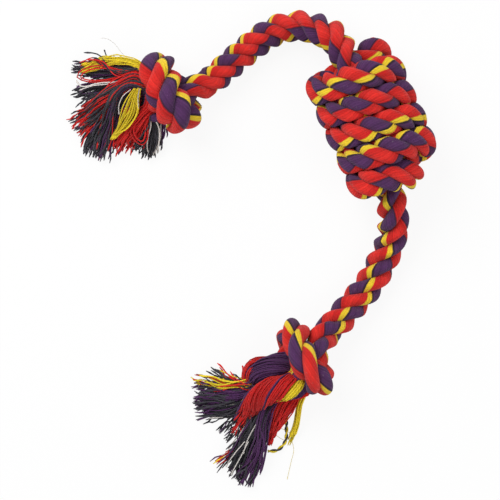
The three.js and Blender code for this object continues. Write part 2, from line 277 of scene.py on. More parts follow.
LOWER_ARM = [
    (-0.7, -9.7, 12),
    (-0.6, -17.7, 7),
    (-2.4, -26.2, 3),
    (-6, -34.7, 1),
    (-10.9, -44.2, 0.5),
    (-17, -52.7, 0.5),
    (-23.6, -60.1, 1.5),
]
upper_arm = free_route(UPPER_ARM, upper_start, ROPE)[::-1]
lower_arm = free_route(LOWER_ARM, lower_start, ROPE)
EASED = 3
UPPER_TAIL = 4 * MM
LOWER_TAIL = 9 * MM
rope_spots = np.vstack([upper_knot, upper_arm, winding_spots[EASED:-EASED], lower_arm, lower_knot])
rope_line = smooth_line(rope_spots, LINE_STEPS)
rope_along = distances(rope_line)
first_wound = len(upper_knot) + len(upper_arm) - EASED
pass_reach = WINDING_TURNS * WOUND_SPACING / 2 - WOUND_SPACING
upper_pass_last = int(np.argmax(tight_winding[:, 0] < -pass_reach))
lower_pass_first = len(tight_winding) - 1 - int(np.argmax(tight_winding[::-1, 0] > pass_reach))
eased_length = EASED * distances(winding_spots)[-1] / (len(winding_spots) - 1)
upper_tail_mark = UPPER_TAIL
upper_knot_mark = rope_along[LINE_STEPS * (len(upper_knot) - 1)]
upper_root_mark = rope_along[LINE_STEPS * (first_wound + EASED)] - eased_length
winding_mark = rope_along[LINE_STEPS * (first_wound + upper_pass_last)]
winding_end_mark = rope_along[LINE_STEPS * (first_wound + lower_pass_first)]
lower_root_mark = rope_along[LINE_STEPS * (first_wound + len(winding_spots) - 1 - EASED)] + eased_length
lower_knot_mark = rope_along[LINE_STEPS * (len(rope_spots) - len(lower_knot))]
end_mark = rope_along[-1]
lower_tail_mark = end_mark - LOWER_TAIL
upper_middle_mark = (upper_knot_mark + upper_root_mark) / 2
lower_middle_mark = (lower_knot_mark + lower_root_mark) / 2

# The rope's three strands. Each is a soft bundle of cotton yarns, laid right-handed round the line, and
# bulges out between its neighbours. Where two passes press on each other both flatten, and so does the
# side that lies on the table.
STRANDS = 3
STRAND_RADIUS = 4.3 * MM
STRAND_REACH = 4.0 * MM
STRAND_GAP = 0.08 * MM
RING_STEP = 1.1 * MM
PRESS_REACH = 17 * MM
PRESS_FROM = 9 * MM
TABLE_GAP = 0.02 * MM

ring_count = int(round(end_mark / RING_STEP)) + 1
ring_along = np.linspace(0, end_mark, ring_count)
ring_middle = at_distances(rope_line, ring_along)
ring_ahead = np.gradient(ring_middle, axis=0)
ring_ahead /= np.linalg.norm(ring_ahead, axis=1)[:, None]
ring_side = np.zeros_like(ring_middle)
ring_side[0] = np.cross(ring_ahead[0], (0, 0, 1))
for i in range(ring_count):
    side = ring_side[max(i - 1, 0)]
    side = side - ring_ahead[i] * (side @ ring_ahead[i])
    ring_side[i] = side / np.linalg.norm(side)
ring_over = np.cross(ring_ahead, ring_side)


def along_rope(*steps):
    """A value at each ring, from pairs of a mark and the value there."""
    marks, values = zip(*steps)
    return np.interp(ring_along, marks, values)


# How often the strands have gone round the line at each mark
upper_arch_mark = 0.45 * upper_knot_mark + 0.55 * upper_root_mark
lay_turns = along_rope(
    (0, 1.723),
    (upper_knot_mark, 5.963),
    (upper_arch_mark, 7.738),
    (upper_root_mark, 8.857),
    (lower_root_mark, 34.163),
    (lower_knot_mark, 36.708),
    (end_mark, 40.2),
)

# One strand's section: its round outer face, then the point where the three strands meet
neighbours_meet = 0.5 * (STRAND_REACH / 2 + math.sqrt(STRAND_RADIUS**2 - 0.75 * STRAND_REACH**2))
section_last = math.acos((neighbours_meet - STRAND_REACH) / STRAND_RADIUS)
SECTION_POINTS = 13
section_angles = np.linspace(-section_last, section_last, SECTION_POINTS)
section_x = np.append(STRAND_REACH + STRAND_RADIUS * np.cos(section_angles), STRAND_GAP * 2)
section_y = np.append(STRAND_RADIUS * np.sin(section_angles), 0)
section_y -= np.sign(section_y) * STRAND_GAP
section_turn = np.append(section_angles, math.pi) / (2 * math.pi)

# The rope is full where it is free and thin where it is wound tight
rope_fullness = along_rope(
    (upper_knot_mark - 10 * MM, 1.03),
    (upper_knot_mark + 6 * MM, 1),
    (upper_root_mark - 10 * MM, 1.08),
    (winding_mark - 20 * MM, 0.84),
    (winding_end_mark + 20 * MM, 0.84),
    (lower_root_mark + 10 * MM, 1.07),
    (lower_knot_mark - 6 * MM, 1.05),
    (lower_knot_mark + 10 * MM, 1.05),
)


def level(degrees):
    """The direction along the table at an angle."""
    turn = math.radians(degrees)
    return np.array([math.cos(turn), math.sin(turn), 0])


# The turns of the grip and of the knots spread or narrow in these directions, by these shares
WOUND_EASE = 20 * MM
KNOT_EASE = 14 * MM
WOUND_WIDER = 0.32
UPPER_KNOT_WIDER = 0.3
UPPER_KNOT_NARROWER = -0.12
LOWER_KNOT_NARROWER = -0.04
in_winding = along_rope(
    (winding_mark - WOUND_EASE, 0),
    (winding_mark, 1),
    (winding_end_mark, 1),
    (winding_end_mark + WOUND_EASE, 0),
)
in_upper_knot = along_rope((upper_knot_mark - KNOT_EASE, 1), (upper_knot_mark, 0))
in_lower_knot = along_rope((lower_knot_mark, 0), (lower_knot_mark + KNOT_EASE, 1))
widenings = [
    (level(WINDING_ANGLE), WOUND_WIDER * in_winding),
    (level(UPPER_KNOT_ANGLE), UPPER_KNOT_WIDER * in_upper_knot),
    (level(UPPER_KNOT_ANGLE + 90), UPPER_KNOT_NARROWER * in_upper_knot),
    (level(LOWER_KNOT_ANGLE), LOWER_KNOT_NARROWER * in_lower_knot),
]
strand_rings = np.zeros((STRANDS, ring_count, SECTION_POINTS + 1, 3))
for strand in range(STRANDS):
    lay = 2 * math.pi * (lay_turns + strand / STRANDS)
    c, s = np.cos(lay)[:, None], np.sin(lay)[:, None]
    out_side = (c * section_x - s * section_y) * rope_fullness[:, None]
    out_over = (s * section_x + c * section_y) * rope_fullness[:, None]
    strand_rings[strand] = out_side[..., None] * ring_side[:, None]
    strand_rings[strand] += out_over[..., None] * ring_over[:, None]
for i in range(ring_count):
    away = ring_middle - ring_middle[i]
    gap = np.linalg.norm(away, axis=1)
    near = np.flatnonzero((gap < PRESS_REACH) & (np.abs(ring_along - ring_along[i]) > PRESS_FROM))
    offsets = strand_rings[:, i].reshape(-1, 3)
    for axis, amount in widenings:
        offsets += amount[i] * np.outer(offsets @ axis, axis)
    for j in near[np.argsort(-gap[near])]:
        direction = away[j] / gap[j]
        beyond = offsets @ direction - gap[j] / 2 + STRAND_GAP
        offsets -= np.maximum(beyond, 0)[:, None] * direction
    offsets += ring_middle[i]
    offsets[:, 2] = np.maximum(offsets[:, 2], TABLE_GAP)
    strand_rings[:, i] = offsets.reshape(STRANDS, -1, 3)


# The cotton of the strands. It is dyed before it is laid, so each strand shows a purple, a yellow and a red
# stripe that wind round it. The yarns make fine ridges, and pale lint sticks to them.
class Look:
    """A material, and the sockets of its nodes, with sums written as plain expressions."""

    def __init__(self, material, socket=None):
        self.material = material
        self.socket = socket

    def node(self, kind, settings=None, output=0, **inputs):
        """Adds a node, sets it up, and gives values or links to its inputs, named or by in_NUMBER."""
        made = self.material.node_tree.nodes.new(kind)
        for name, value in (settings or {}).items():
            if name == "stops":
                while len(made.color_ramp.elements) > 1:
                    made.color_ramp.elements.remove(made.color_ramp.elements[0])
                for k, (place, colour) in enumerate(value):
                    stop = made.color_ramp.elements[0] if k == 0 else made.color_ramp.elements.new(place)
                    stop.position = place
                    stop.color = (*colour, 1)
            elif name == "interpolation":
                made.color_ramp.interpolation = value
            else:
                setattr(made, name, value)
        for name, value in inputs.items():
            key = int(name[3:]) if name.startswith("in_") else name.replace("_", " ")
            if isinstance(value, Look):
                self.material.node_tree.links.new(value.socket, made.inputs[key])
            else:
                made.inputs[key].default_value = value
        return Look(self.material, made.outputs[output] if made.outputs else None)

    def maths(self, operation, first, second=0.0, third=0.0):
        return self.node("ShaderNodeMath", {"operation": operation}, in_0=first, in_1=second, in_2=third)

    def __add__(self, other):
        return self.maths("ADD", self, other)

    def __radd__(self, other):
        return self.maths("ADD", other, self)

    def __sub__(self, other):
        return self.maths("SUBTRACT", self, other)

    def __rsub__(self, other):
        return self.maths("SUBTRACT", other, self)

    def __mul__(self, other):
        return self.maths("MULTIPLY", self, other)

    def __rmul__(self, other):
        return self.maths("MULTIPLY", other, self)

    def mix(self, colour, share, blend="MIX"):
        """This colour mixed with another one by a share."""
        settings = {"data_type": "RGBA", "blend_type": blend, "clamp_factor": True}
        return self.node("ShaderNodeMix", settings, output=2, in_0=share, in_6=self, in_7=colour)


def new_look(name):
    """An empty material."""
    material = bpy.data.materials.new(name)
    material.use_nodes = True
    material.node_tree.nodes.clear()
    return Look(material)


def finish_look(look, colour, roughness, bump, bump_depth, sheen):
    """Soft cotton: a matte shader with a fine bump and a little sheen."""
    relief = look.node("ShaderNodeBump", Strength=1.0, Distance=bump_depth, Height=bump)
    cotton = look.node(
        "ShaderNodeBsdfPrincipled", Base_Color=colour, Roughness=roughness, Normal=relief,
        Sheen_Weight=sheen, Sheen_Roughness=0.5, Specular_IOR_Level=0.15,
    )
    look.node("ShaderNodeOutputMaterial", Surface=cotton)
    return look.material


def linear(red, green, blue):
    """A colour as it is read off a picture, turned into light."""
    return tuple(((v / 255 + 0.055) / 1.055) ** 2.4 for v in (red, green, blue))


RED = linear(216, 36, 34)
BRIGHT_RED = linear(236, 50, 43)
PURPLE = linear(87, 49, 96)
# Painted shade: a dark purple drawn as a line along each edge of the purple stripe
PAINTED_SHADE_PURPLE = linear(48, 32, 54)
YELLOW = linear(250, 214, 52)
PALE = linear(226, 220, 214)

YARNS_ROUND = 20
STRIPE_RAGGED = 0.014
LINT_SHOWS = 0.15
ROPE_RELIEF = 0.5 * MM
COTTON_SHEEN = 0.1
rope_look = new_look("rope_cotton")
lay_map = rope_look.node("ShaderNodeUVMap", {"uv_map": "lay"})
lay_parts = rope_look.node("ShaderNodeSeparateXYZ", Vector=lay_map)
stripe = Look(lay_parts.material, lay_parts.socket.node.outputs[0])
strand_along = Look(lay_parts.material, lay_parts.socket.node.outputs[1])
stripe_round = rope_look.maths("FRACT", stripe)
ragged = rope_look.node(
    "ShaderNodeTexNoise", {"noise_dimensions": "2D"}, Vector=lay_map, Scale=9.0, Detail=2.0, Roughness=0.6
)
stripe_edge = stripe_round + (ragged - 0.5) * STRIPE_RAGGED
# The stripe colours round the lay; the dark purple stops at the purple stripe's edges are painted shade
# lines
stripe_colour = rope_look.node(
    "ShaderNodeValToRGB",
    {"interpolation": "LINEAR", "stops": [
        (0.0, PAINTED_SHADE_PURPLE), (0.03, PURPLE), (0.33, PURPLE), (0.36, PAINTED_SHADE_PURPLE), (0.385, PAINTED_SHADE_PURPLE),
        (0.395, YELLOW), (0.495, YELLOW), (0.51, RED), (0.77, BRIGHT_RED), (0.965, RED), (1.0, PAINTED_SHADE_PURPLE),
    ]},
    Fac=stripe_edge,
)
yarn_number = rope_look.maths("FLOOR", stripe_round * YARNS_ROUND)
yarn_shade = rope_look.node("ShaderNodeTexWhiteNoise", {"noise_dimensions": "1D"}, W=yarn_number)
yarn_wave = rope_look.maths("SINE", stripe * (2 * math.pi * YARNS_ROUND))
yarn_ridge = 0.5 + 0.5 * yarn_wave
fibre_place = rope_look.node("ShaderNodeCombineXYZ", X=stripe * 60.0, Y=strand_along * 5.0)
fibres = rope_look.node(
    "ShaderNodeTexNoise", {"noise_dimensions": "2D"}, Vector=fibre_place, Scale=3.0, Detail=4.0,
    Roughness=0.65,
)
# Each yarn's own tone and the fibre noise, plus painted shade: the colour is darker in the grooves between
# the yarn ridges
shade = 0.76 + 0.21 * yarn_shade + 0.1 * yarn_ridge + (fibres - 0.5) * 0.4
shade_grey = rope_look.node("ShaderNodeCombineXYZ", X=shade, Y=shade, Z=shade)
rope_colour = stripe_colour.mix(shade_grey, 1.0, "MULTIPLY")
lint_place = rope_look.node("ShaderNodeTexCoord", output=3)
lint_noise = rope_look.node("ShaderNodeTexNoise", Vector=lint_place, Scale=520.0, Detail=3.0, Roughness=0.7)
lint = rope_look.node(
    "ShaderNodeMapRange", Value=lint_noise, From_Min=0.64, From_Max=0.8, To_Min=0.0, To_Max=LINT_SHOWS
)
rope_colour = rope_colour.mix((*PALE, 1), lint)
rope_rough = 0.82 + (fibres - 0.5) * 0.2
rope_bump = yarn_ridge * 0.45 + fibres * 0.6
rope_cotton = finish_look(rope_look, rope_colour, rope_rough, rope_bump, ROPE_RELIEF, COTTON_SHEEN)


# The grip: the middle of the rope, wound five times round its own two passes, which run through it. The
# winding holds itself by its own pull.
def add_mesh(name, spots, faces, material, uv):
    """A smooth mesh object, with a place on the lay for each vertex."""
    mesh = bpy.data.meshes.new(name)
    mesh.from_pydata(spots.tolist(), [], faces)
    layer = mesh.uv_layers.new(name="lay")
    corners = np.zeros(len(mesh.loops), np.int32)
    mesh.loops.foreach_get("vertex_index", corners)
    layer.data.foreach_set("uv", uv.astype(np.float32)[corners].ravel())
    mesh.materials.append(material)
    mesh.shade_smooth()
    piece = bpy.data.objects.new(name, mesh)
    bpy.context.scene.collection.objects.link(piece)
    return piece


def tube_faces(first, rings, sides):
    """Faces of one tube whose rings of vertices follow each other, with its two ends closed."""
    a = first + np.arange(rings - 1)[:, None] * sides + np.arange(sides)
    b = first + np.arange(rings - 1)[:, None] * sides + (np.arange(sides) + 1) % sides
    walls = np.stack([a, b, b + sides, a + sides], -1).reshape(-1, 4).tolist()
    start = list(range(first + sides - 1, first - 1, -1))
    finish = list(range(first + (rings - 1) * sides, first + rings * sides))
    return walls, start, finish


# Each strand's stripes: the way they wind round it, and where they stand at the two ends of the grip
STRIPE_DRIFT = 2.153
STRIPE_STARTS = ((1, 0.27, -0.024), (1, -0.088, -0.056), (-1, 0.171, 0.44))
UPPER_KNOT_TURN = 0.5
LOWER_KNOT_TURN = 0.75
KNOT_TURNS_OVER = 40 * MM


def rope_piece(name, from_mark, to_mark):
    """The three strands between two marks, closed at both ends."""
    first = int(round(from_mark / end_mark * (ring_count - 1)))
    last = int(round(to_mark / end_mark * (ring_count - 1)))
    sides = SECTION_POINTS + 1
    spots, uv, faces, caps = [], [], [], []
    for strand in range(STRANDS):
        rings = strand_rings[strand, first:last + 1]
        way, upper_begin, lower_begin = STRIPE_STARTS[strand]
        begin = along_rope(
            (upper_knot_mark - KNOT_TURNS_OVER, upper_begin + way * UPPER_KNOT_TURN),
            (upper_knot_mark, upper_begin),
            (upper_root_mark, upper_begin),
            (lower_root_mark, lower_begin),
            (lower_knot_mark, lower_begin),
            (lower_knot_mark + KNOT_TURNS_OVER, lower_begin + way * LOWER_KNOT_TURN),
        )
        stripe_turn = way * (section_turn + STRIPE_DRIFT * lay_turns[:, None]) + begin[:, None]
        turn = stripe_turn[first:last + 1]
        length = np.repeat(ring_along[first:last + 1, None] / ROPE, sides, 1)
        walls, start, finish = tube_faces(strand * len(rings) * sides, len(rings), sides)
        spots.append(rings.reshape(-1, 3))
        uv.append(np.stack([turn, length], -1).reshape(-1, 2))
        faces += walls + [start, finish]
        caps += [len(faces) - 2, len(faces) - 1]
    piece = add_mesh(name, np.vstack(spots), faces, rope_cotton, np.vstack(uv))
    sharp = piece.data.attributes.new("sharp_edge", "BOOLEAN", "EDGE")
    keys = {key for cap in caps for key in piece.data.polygons[cap].edge_keys}
    for edge in piece.data.edges:
        sharp.data[edge.index].value = edge.key in keys
    return piece, ring_middle[first:last + 1]


winding, winding_path = rope_piece("rope_winding", winding_mark, winding_end_mark)
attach(winding, "centre_knot")
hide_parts("centre_winding")


upper_root, upper_root_path = rope_piece("rope_upper_root", upper_middle_mark, winding_mark)
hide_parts("centre_upper_pass", "upper_rope_inner", "upper_rope_middle")
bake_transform(upper_root)
upper_end, upper_end_path = rope_piece("rope_upper_end", upper_tail_mark, upper_middle_mark)
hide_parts("upper_rope_outer", "upper_knot")
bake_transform(upper_end)

# The lower arm and its knot. It is the other end of the same rope, which leaves the grip at its lower end,
# lies on the table and goes into a second overhand knot.
lower_root, lower_root_path = rope_piece("rope_lower_root", winding_end_mark, lower_middle_mark)
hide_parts("centre_lower_pass", "lower_rope_inner", "lower_rope_middle")
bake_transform(lower_root)
lower_end, lower_end_path = rope_piece("rope_lower_end", lower_middle_mark, lower_tail_mark)
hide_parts("lower_rope_outer", "lower_knot")
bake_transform(lower_end)

# The yarns of the two tassels. Past each knot the rope is unlaid, and its strands fall open into locks of
# single cotton yarns that lie loosely on the table. Each lock follows its middle line; its yarns are packed
# over its width and height, turn with the strand they came from, and part in wisps towards their ends.
YARN_RADIUS = 0.36 * MM
YARN_SIDES = 5
YARN_STEPS = 24
LOCK_STEPS = 8
YARNS_IN_WISP = 6
YARN_SPREAD = 0.15
YARN_LONGEST = 1.08
PACKING_TURN = 2.39996
PACKING_SPREAD = 0.3
WAVE_SPREAD = 0.3
STRAY_SHARE = 0.1
STRAY_LOOSER = 2.2
LOOSE_TO_END = 1.15
FLATTER = 0.7
OFF_TABLE = 0.1 * MM
yarn_chance = np.random.default_rng(11)

# How many waves a yarn has, how wide they are, and whether its whole wisp has them
YARN_WAVES = ((0.8, 1.0, True), (1.6, 0.5, False), (3.4, 0.28, False))


class Tassel:
    """The yarns of one end of the rope, sorted by colour."""

    def __init__(self, root):
        self.root = root
        self.yarns = {}

    def add_yarn(self, colour, path, radius):
        """One yarn, kept above the table."""
        path = path.copy()
        path[:, 2] = np.maximum(path[:, 2], radius + OFF_TABLE)
        self.yarns.setdefault(colour, []).append((path, radius))

    def add_lock(self, colours, count, route, fray=1.0, turns=0.0, mixed=1.0, shortest=0.8):
        """A lock along route points in millimetres, with its width and height at each."""
        route = smooth_line(np.array([self.root] + route) * MM, LOCK_STEPS)
        along = distances(route)
        reach = along[-1] * yarn_chance.uniform(shortest, YARN_LONGEST, count)
        steps = reach[:, None] * np.linspace(0, 1, YARN_STEPS)
        beyond = np.maximum(steps - along[-1], 0)
        guide = at_distances(route, steps)
        ways = np.gradient(route[:, :3], axis=0)
        ways /= np.linalg.norm(ways, axis=1)[:, None]
        ahead = np.stack([np.interp(steps, along, way) for way in ways.T], -1)
        side = np.cross((0, 0, 1), ahead)
        side /= np.linalg.norm(side, axis=2)[..., None]
        over = np.cross(ahead, side)
        share = steps / along[-1]
        number = np.arange(count)
        turn = number * PACKING_TURN + yarn_chance.uniform(-PACKING_SPREAD, PACKING_SPREAD, count)
        out = np.sqrt((number + 0.5) / count)
        twist = turn[:, None] + 2 * math.pi * turns * share * (2 - share)
        across = out[:, None] * np.cos(twist) * guide[..., 3] / 2
        up = out[:, None] * np.sin(twist) * guide[..., 4] / 2
        stray = np.where(yarn_chance.uniform(0, 1, count) < STRAY_SHARE, STRAY_LOOSER, 1.0)
        loose = fray * MM * stray[:, None] * share**LOOSE_TO_END
        wisps = max(count // YARNS_IN_WISP, 1)
        wisp = yarn_chance.integers(0, wisps, count)
        for waves, size, shared in YARN_WAVES:
            own = wisp if shared else number
            beat = yarn_chance.uniform(1 - WAVE_SPREAD, 1 + WAVE_SPREAD, (2, count, 1))[:, own] * waves
            start = yarn_chance.uniform(0, 2 * math.pi, (2, count, 1))[:, own]
            across = across + size * loose * np.sin(2 * math.pi * beat[0] * share + start[0])
            up = up + FLATTER * size * loose * np.sin(2 * math.pi * beat[1] * share + start[1])
        paths = guide[..., :3] + across[..., None] * side + up[..., None] * over
        paths += beyond[..., None] * ahead * (1, 1, 0)
        names = [name for name, weight in colours]
        limits = np.cumsum([weight for name, weight in colours])
        place = (turn / (2 * math.pi) + mixed * yarn_chance.uniform(-0.5, 0.5, count)) % 1
        for path, where in zip(paths, place):
            name = names[min(int(np.searchsorted(limits, where * limits[-1])), len(names) - 1)]
            thickness = yarn_chance.uniform(1 - YARN_SPREAD, 1 + YARN_SPREAD)
            self.add_yarn(name, path, YARN_RADIUS * thickness)

    def add_single(self, colour, route, radius=0.4):
        """One yarn by itself; its route and radius are in millimetres."""
        line = smooth_line(np.array(route) * MM, LOCK_STEPS)
        path = at_distances(line, np.linspace(0, distances(line)[-1], YARN_STEPS))
        self.add_yarn(colour, path, radius * MM)


YARN_END = (1.0, 1.5, 0.6)
ALONG_NO_YARN = (0.31, 0.17, 0.93)


def yarn_rings(path, radius):
    """The rings of one yarn, with the small knot of its frayed end."""
    ahead = np.gradient(path, axis=0)
    ahead /= np.linalg.norm(ahead, axis=1)[:, None] + 1e-9
    side = np.cross(ahead, ALONG_NO_YARN)
    side /= np.linalg.norm(side, axis=1)[:, None] + 1e-9
    over = np.cross(ahead, side)
    thick = np.full(len(path), radius)
    thick[-len(YARN_END):] *= YARN_END
    round_yarn = 2 * math.pi * np.arange(YARN_SIDES) / YARN_SIDES
    c, s = np.cos(round_yarn)[:, None], np.sin(round_yarn)[:, None]
    ring = c * side[:, None] + s * over[:, None]
    return path[:, None] + ring * thick[:, None, None]


PLIES_ROUND = 2.0
PLIES_TO_MM = 0.45
YARN_ROUGH = 0.85
YARN_RELIEF = 0.12 * MM


def yarn_look(name, colour, spread=0.4):
    """Twisted yarn of one colour, each yarn a little lighter or darker by the spread."""
    look = new_look(name)
    lay = look.node("ShaderNodeUVMap", {"uv_map": "lay"})
    parts = look.node("ShaderNodeSeparateXYZ", Vector=lay)
    round_yarn = Look(look.material, parts.socket.node.outputs[0])
    along = Look(look.material, parts.socket.node.outputs[1])
    ply = 0.5 + 0.5 * look.maths("SINE", (round_yarn * PLIES_ROUND + along * PLIES_TO_MM) * (2 * math.pi))
    own = look.node("ShaderNodeAttribute", {"attribute_name": "yarn_shade"}, output=2)
    # Each yarn's own tone, plus painted shade: the colour is darker in the grooves between its twisted plies
    shade = (0.82 - spread / 2) + spread * own + 0.22 * ply
    grey = look.node("ShaderNodeCombineXYZ", X=shade, Y=shade, Z=shade)
    shown = look.node("ShaderNodeRGB")
    shown.socket.default_value = (*colour, 1)
    return finish_look(look, shown.mix(grey, 1.0, "MULTIPLY"), YARN_ROUGH, ply, YARN_RELIEF, COTTON_SHEEN)


def add_yarns(name, yarns, material):
    """All the yarns of one colour at one end, as closed tubes."""
    spots, faces, uv, shades = [], [], [], []
    for path, radius in yarns:
        walls, start, finish = tube_faces(len(spots) * YARN_STEPS * YARN_SIDES, YARN_STEPS, YARN_SIDES)
        spots.append(yarn_rings(path, radius).reshape(-1, 3))
        faces += walls + [start, finish]
        length = np.repeat(distances(path) / MM, YARN_SIDES)
        uv.append(np.stack([np.tile(np.arange(YARN_SIDES) / YARN_SIDES, YARN_STEPS), length], -1))
        shades.append(np.full(YARN_STEPS * YARN_SIDES, yarn_chance.uniform(0, 1)))
    piece = add_mesh(name, np.vstack(spots), faces, material, np.vstack(uv))
    shade = piece.data.attributes.new("yarn_shade", "FLOAT", "POINT")
    shade.data.foreach_set("value", np.concatenate(shades).astype(np.float32))
    return piece


YARN_YELLOW = linear(242, 216, 46)
CHARCOAL = linear(62, 60, 67)
yarn_colours = {
    "red": yarn_look("red_yarn", RED),
    "purple": yarn_look("purple_yarn", PURPLE),
    "yellow": yarn_look("yellow_yarn", YARN_YELLOW),
    "charcoal": yarn_look("charcoal_yarn", CHARCOAL, spread=0.9),
    "pale": yarn_look("pale_yarn", PALE),
}


def finish_tassel(side, tassel, nodes):
    """Makes the yarns of each colour one piece."""
    for colour, yarns in tassel.yarns.items():
        piece = add_yarns(f"{side}_tassel_{colour}", yarns, yarn_colours[colour])
        if colour in nodes:
            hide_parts(*nodes[colour])
        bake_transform(piece)


# The upper tassel: yellow and red locks over a dark mass of charcoal and purple ones, fanned out to the left
# of its knot, with a few white yarns and loops that were never cut open.
upper = Tassel((-119.5, 15.8, 15.9, 8, 9))
# The top: a yellow lock on a dark one, with a few red yarns across it
upper.add_lock([("charcoal", 8), ("purple", 2)], 66, fray=1.3, route=[
    (-129.7, 25.4, 14, 6, 5), (-139.2, 26.4, 11, 7, 5), (-148.6, 26.2, 7, 8, 5), (-157, 26, 4, 9, 4),
    (-162, 26, 2.5, 9, 3),
])
upper.add_lock([("yellow", 8.4), ("red", 0.8), ("charcoal", 0.8)], 30, fray=1.4, route=[
    (-127.2, 28, 18, 4, 3), (-135.2, 30.6, 16, 4, 3), (-143.1, 30.8, 13, 5, 3), (-151, 29.5, 10, 6, 3),
    (-157.2, 27.8, 7, 7, 2.5),
])
upper.add_lock([("red", 8), ("charcoal", 2)], 7, fray=1.4, route=[
    (-128.2, 25.3, 19, 4, 3), (-136.8, 23.7, 18, 4, 2), (-144.7, 26.8, 15, 3, 2), (-152, 30.8, 12, 4, 2),
    (-161, 30.2, 7.5, 5, 2),
])
# The left: a dark mass, and the red lock that falls across it
upper.add_lock([("charcoal", 8.8), ("purple", 0.8), ("pale", 0.4)], 104, fray=1.5, route=[
    (-129.7, 20.5, 14, 8, 6), (-139.2, 17.5, 11, 11, 7), (-148.6, 15, 7, 13, 6), (-156, 12.5, 4, 15, 4),
    (-160.5, 10.5, 2.5, 17, 3),
])
upper.add_lock([("red", 8.2), ("charcoal", 1.8)], 74, fray=1.3, turns=0.4, mixed=0.5, route=[
    (-128.5, 21.6, 18, 8, 6), (-137, 16.6, 18, 7.5, 6), (-144.3, 11.6, 13.5, 7, 5), (-151, 6.6, 9, 7, 4),
    (-156.5, 1.4, 5.5, 9, 4), (-162.5, -2.7, 3, 12, 3),
])
# The middle and the low left: dark locks with red yarns in them
upper.add_lock([("charcoal", 7), ("purple", 2), ("red", 1)], 76, fray=1.4, turns=0.3, route=[
    (-132.5, 17.6, 20, 5, 4), (-139.5, 12.5, 19, 5, 4), (-142.5, 4.5, 14.5, 6, 4), (-144, -3, 10, 8, 5),
    (-146.5, -12, 5, 11, 4), (-148.6, -19, 2.5, 13, 3),
])
upper.add_lock([("charcoal", 5.5), ("red", 3.5), ("purple", 1)], 76, fray=1.6, route=[
    (-133.5, 14.6, 14, 6, 5), (-144.7, 4.2, 9, 10, 6), (-152.5, -3.4, 5, 13, 5), (-158, -9, 2.5, 15, 3),
])
upper.add_lock([("charcoal", 7), ("purple", 2), ("red", 1)], 84, fray=1.6, route=[
    (-132.5, 12.3, 13, 7, 6), (-142, 1, 9, 10, 6), (-149, -10, 4.5, 13, 5), (-153, -18.5, 2.5, 15, 3),
])
# The front: a yellow lock shaped like a leaf, with a white yarn along each side
upper.add_lock([("yellow", 1)], 22, fray=0.45, shortest=0.9, route=[
    (-126, 17.2, 19, 2.5, 2), (-129.6, 10.4, 21, 6.5, 2), (-131.9, 2.6, 19.5, 10.2, 2),
    (-134.7, -2.4, 16.5, 8, 2), (-138.4, -7.2, 12.5, 3.6, 2), (-141.6, -10.6, 9, 1.6, 1),
])
upper.add_lock([("charcoal", 6), ("purple", 3), ("red", 1)], 70, fray=1.2, route=[
    (-127, 13, 13, 7, 6), (-131.5, 6, 13, 10, 6), (-136, -2, 9, 11, 6), (-140, -11, 4.5, 11, 4),
])
upper.add_single("pale", [
    (-131.5, 14.5, 22), (-135.8, 10.6, 22.5), (-138, 5.5, 20), (-138, 1, 17.5),
], radius=0.3)
upper.add_single("pale", [
    (-126.6, 15, 20.5), (-127.4, 10, 22), (-127.3, 4.5, 21), (-128.6, 0.5, 18),
], radius=0.3)
# The low right: red locks out of the knot, and dark ones beside them
upper.add_lock([("purple", 1)], 30, fray=0.6, route=[
    (-121.5, 11, 16.5, 5, 4), (-121.8, 5, 15.5, 7, 4), (-122.3, -1, 11, 8, 4),
])
upper.add_lock([("red", 9.2), ("purple", 0.8)], 66, fray=1.3, route=[
    (-121.5, 5, 17, 6, 5), (-126.6, 0, 16, 8, 5), (-132.1, -5.8, 11.5, 9, 5), (-137.4, -12.5, 6.5, 9, 4),
    (-140.5, -17, 3, 10, 3),
])
upper.add_lock([("red", 8), ("charcoal", 2)], 36, fray=1.6, route=[
    (-121, 5, 16, 5, 4), (-125, -3, 13, 7, 5), (-129, -10, 8, 8, 4), (-133.5, -16.5, 3, 9, 3),
])
upper.add_lock([("charcoal", 9), ("red", 0.6), ("pale", 0.4)], 54, fray=1.5, route=[
    (-119.5, 3.5, 13, 6, 5), (-121, -4, 10, 8, 5), (-123.4, -12, 5.5, 9, 4), (-126, -19, 2.5, 11, 3),
])
upper.add_lock([("charcoal", 9), ("pale", 0.5), ("purple", 0.5)], 58, fray=1.4, route=[
    (-119.3, 2.5, 13, 6, 5), (-119.2, -6, 9, 7, 5), (-119.8, -14, 5, 8, 4), (-121, -19.5, 2.5, 9, 3),
])
upper.add_lock([("purple", 1)], 26, fray=0.9, route=[
    (-120.3, 4.5, 12, 5, 4), (-116, -2, 8, 5, 4), (-114.4, -8.5, 5, 4, 4), (-115.6, -14, 3, 4, 3),
])
# Loops that were never cut open, white yarns and strays
upper.add_single("red", [
    (-126, 24.6, 20), (-136, 25.2, 19), (-147, 28, 15), (-154.9, 27.6, 12), (-160.4, 24.9, 10),
    (-161.7, 22.3, 9), (-158, 20.1, 10), (-148.6, 19.2, 12), (-140.7, 20.5, 14.5), (-133, 23.4, 17),
])
upper.add_single("red", [
    (-126, 23.4, 20), (-134, 23.6, 19), (-145, 26.6, 15.5), (-153.6, 26.2, 12.5), (-158.6, 24, 10.5),
    (-159.6, 22, 10), (-156, 20.6, 10.5), (-147.6, 20.2, 12.5), (-139, 21.8, 15), (-133, 24.2, 17),
])
upper.add_single("pale", [
    (-130, 20.5, 16), (-136, 19.4, 16), (-143.1, 19, 14.5), (-151, 18.4, 12), (-156.5, 17, 10),
    (-160, 17.6, 8), (-162.3, 20.6, 6.5),
])
upper.add_single("pale", [
    (-130, 21, 16), (-136.4, 20.2, 16.5), (-144.7, 18, 14), (-152.5, 17.4, 11.5), (-157.6, 16, 9),
    (-160.6, 15, 7),
], radius=0.3)
upper.add_single("red", [
    (-122.4, 3, 18), (-129.4, -2.6, 16), (-131.9, -8, 14), (-129.6, -13, 12), (-125.4, -15.4, 11),
    (-122.8, -12.5, 11), (-122.4, -6, 14), (-123.6, 0, 16),
])
